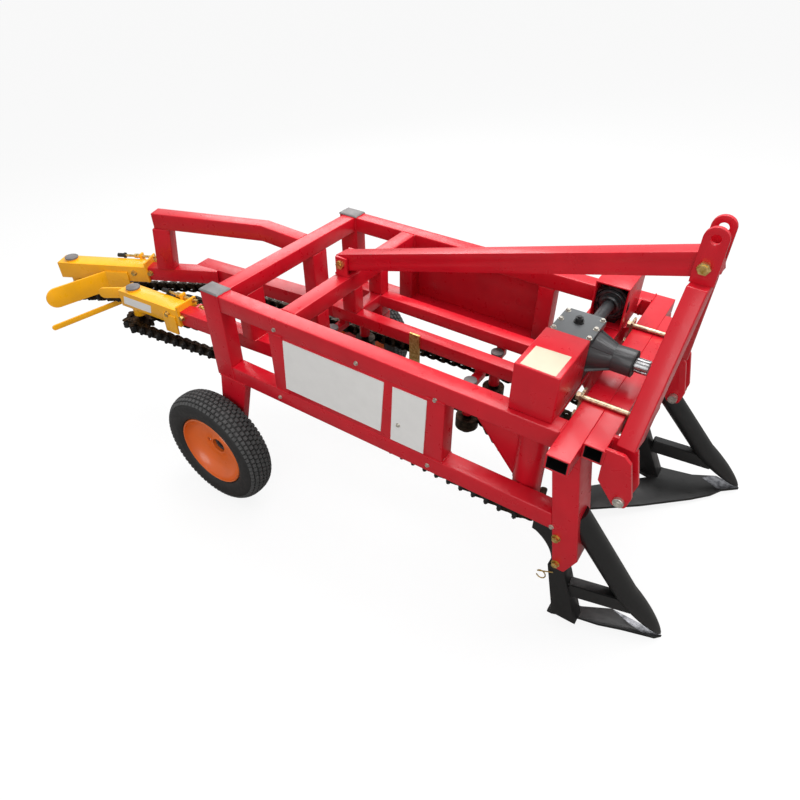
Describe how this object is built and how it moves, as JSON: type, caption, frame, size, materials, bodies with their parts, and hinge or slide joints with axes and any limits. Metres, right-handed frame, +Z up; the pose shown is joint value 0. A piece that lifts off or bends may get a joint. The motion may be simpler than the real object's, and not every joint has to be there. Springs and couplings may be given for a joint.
{
  "type": "peanut harvester",
  "caption": "Tractor-mounted peanut harvester with twin digging shares, lifting chains, a square-tube frame and two rear wheels, parked on its shares.",
  "frame": {"origin": "middle of the outline on the floor", "axes": "+X forward to the tractor, +Y the machine's left, +Z up"},
  "size_m": [2.3984, 0.91, 1.0363],
  "materials": {
    "red_paint": "gloss",
    "yellow_paint": "gloss",
    "orange_paint": "gloss",
    "grey_plastic": "matte",
    "tyre_rubber": "matte",
    "black_steel": "satin",
    "cast_black": "satin",
    "bright_steel": "satin",
    "zinc": "satin"
  },
  "bodies": {
    "chassis": {"axles": "bright_steel", "brace_post": "red_paint", "brace_rail": "red_paint", "chain_beams": "red_paint", "chain_carriers": "red_paint", "chain_far": "black_steel", "chain_near": "black_steel", "cross_rails": "red_paint", "cross_shaft": "black_steel", "drive_housings": "red_paint", "end_caps": "grey_plastic", "far_beam_tail": "red_paint", "far_bevel_box": "black_steel", "front_cross_tube": "red_paint", "front_posts": "red_paint", "gearbox": "cast_black", "gearbox_bridge": "red_paint", "guard_box_far": "red_paint", "guard_box_near": "red_paint", "guide_rollers": "black_steel", "hangers": "red_paint", "head_far": "yellow_paint", "head_near": "yellow_paint", "hitch_pins": "bright_steel", "hitch_plates": "red_paint", "hitch_tube": "red_paint", "mast_legs": "red_paint", "mast_plates": "red_paint", "paddles": "yellow_paint", "posts": "red_paint", "pto_shaft": "bright_steel", "roller_posts": "red_paint", "shanks": "black_steel", "share_bars": "black_steel", "share_blades": "black_steel", "side_panels": "red_paint", "side_rails": "red_paint", "spring_bracket": "zinc", "sprockets": "black_steel", "stay_bolts": "bright_steel", "stay_bracket": "red_paint", "stub_shafts": "black_steel", "tension_rods": "black_steel", "top_stay": "red_paint", "ubolts": "zinc", "wheel_legs": "red_paint"},
    "wheel_left": {"tyre_left": "tyre_rubber", "rim_left": "orange_paint"},
    "wheel_right": {"tyre_right": "tyre_rubber", "rim_right": "orange_paint"}
  },
  "joints": [
    {"name": "wheel_left_spin", "type": "hinge", "parent": "chassis", "child": "wheel_left", "pos_m": [-0.26649, 0.405, 0.203], "axis": [0, 1, 0], "continuous": true},
    {"name": "wheel_right_spin", "type": "hinge", "parent": "chassis", "child": "wheel_right", "pos_m": [-0.26649, -0.405, 0.203], "axis": [0, 1, 0], "continuous": true}
  ]
}
